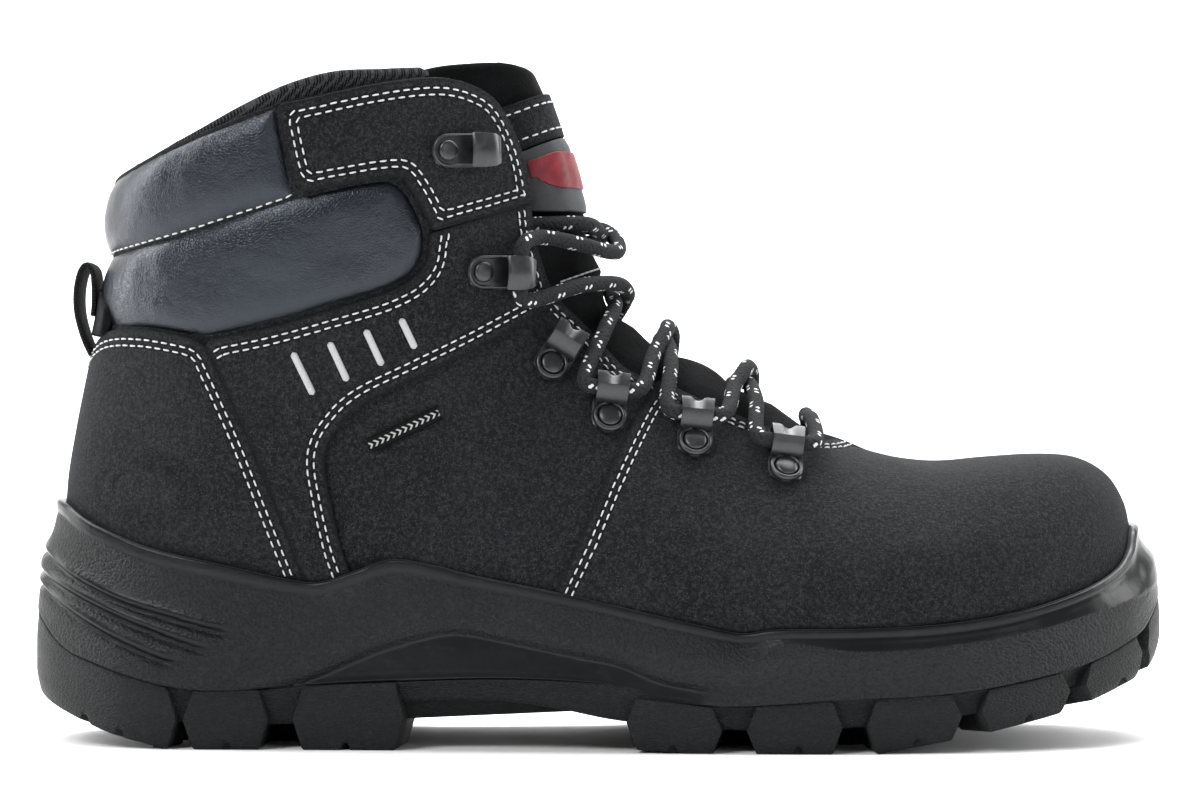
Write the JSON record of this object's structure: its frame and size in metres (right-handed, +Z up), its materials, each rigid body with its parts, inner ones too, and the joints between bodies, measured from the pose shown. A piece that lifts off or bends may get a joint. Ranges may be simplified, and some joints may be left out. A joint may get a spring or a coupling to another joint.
{
  "type": "steel toe work boot",
  "caption": "Lace-up safety work boot for the right foot, ankle high, with a steel toe cap, padded collar, speed hooks, a folding tongue top and a lugged sole.",
  "frame": {"origin": "on the ground under the centre of the boot's bounding box", "axes": "+X to the toe, +Y to the wearer's left (the inner side of this right boot), +Z up"},
  "size_m": [0.3176, 0.1147, 0.1899],
  "materials": {
    "nubuck": "matt oiled nubuck leather, charcoal black",
    "collar_leather": "smooth leather with a soft sheen, dark blue-grey",
    "suede": "black suede",
    "mesh_fabric": "black air mesh",
    "rubber": "satin black moulded rubber",
    "midsole_foam": "satin black moulded polyurethane",
    "steel": "plain steel",
    "board": "fibre board",
    "gunmetal": "dark gunmetal finish",
    "lace": "round braid, charcoal with light flecks",
    "plastic": "black film tip",
    "badge": "grey moulded rubber with a red raised panel",
    "reflective": "white reflective film",
    "webbing": "black woven webbing"
  },
  "bodies": {
    "boot": {"outsole": "rubber", "midsole": "midsole_foam", "insole_board": "board", "shank": "steel", "toe_cap": "steel", "heel_stiffener": "board", "lining": "mesh_fabric", "vamp": "nubuck", "quarter_lateral": "nubuck", "quarter_medial": "nubuck", "heel_counter": "nubuck", "collar_pad_upper": "collar_leather", "collar_pad_lower": "collar_leather", "backstay": "nubuck", "side_tab": "webbing", "tongue": "suede", "lace": "lace", "lace_tip_lateral": "plastic", "lace_tip_medial": "plastic", "ankle_overlay_lateral": "nubuck", "lace_flap_lateral": "nubuck", "reflective_bar_lateral_1": "reflective", "lace_loop_lateral_1": "gunmetal", "loop_rivet_lateral_1": "gunmetal", "reflective_bar_lateral_2": "reflective", "lace_loop_lateral_2": "gunmetal", "loop_rivet_lateral_2": "gunmetal", "reflective_bar_lateral_3": "reflective", "lace_loop_lateral_3": "gunmetal", "loop_rivet_lateral_3": "gunmetal", "reflective_bar_lateral_4": "reflective", "lace_loop_lateral_4": "gunmetal", "loop_rivet_lateral_4": "gunmetal", "speed_hook_lateral_1": "gunmetal", "hook_rivet_lateral_1": "gunmetal", "speed_hook_lateral_2": "gunmetal", "hook_rivet_lateral_2": "gunmetal", "ankle_overlay_medial": "nubuck", "lace_flap_medial": "nubuck", "reflective_bar_medial_1": "reflective", "lace_loop_medial_1": "gunmetal", "loop_rivet_medial_1": "gunmetal", "reflective_bar_medial_2": "reflective", "lace_loop_medial_2": "gunmetal", "loop_rivet_medial_2": "gunmetal", "reflective_bar_medial_3": "reflective", "lace_loop_medial_3": "gunmetal", "loop_rivet_medial_3": "gunmetal", "reflective_bar_medial_4": "reflective", "lace_loop_medial_4": "gunmetal", "loop_rivet_medial_4": "gunmetal", "speed_hook_medial_1": "gunmetal", "hook_rivet_medial_1": "gunmetal", "speed_hook_medial_2": "gunmetal", "hook_rivet_medial_2": "gunmetal"},
    "tongue_flap": {"tongue_flap": "suede", "tongue_patch": "nubuck", "tongue_badge": "badge"},
    "pull_loop": {"pull_loop": "webbing"},
    "footbed": {"footbed": "mesh_fabric"}
  },
  "joints": [
    {"name": "tongue_fold", "type": "hinge", "parent": "boot", "child": "tongue_flap", "pos_m": [-0.0046, 0, 0.1474], "axis": [0, 1, 0], "range_deg": [0, 35], "stiffness_Nm_per_rad": 0.02},
    {"name": "pull_loop_swing", "type": "hinge", "parent": "boot", "child": "pull_loop", "pos_m": [-0.1422, 0, 0.107], "axis": [0, -1, 0], "range_deg": [0, 35], "stiffness_Nm_per_rad": 0.004},
    {"name": "footbed_lift", "type": "hinge", "parent": "boot", "child": "footbed", "pos_m": [0.1355, 0, 0.04], "axis": [0, 1, 0], "range_deg": [0, 8]}
  ]
}
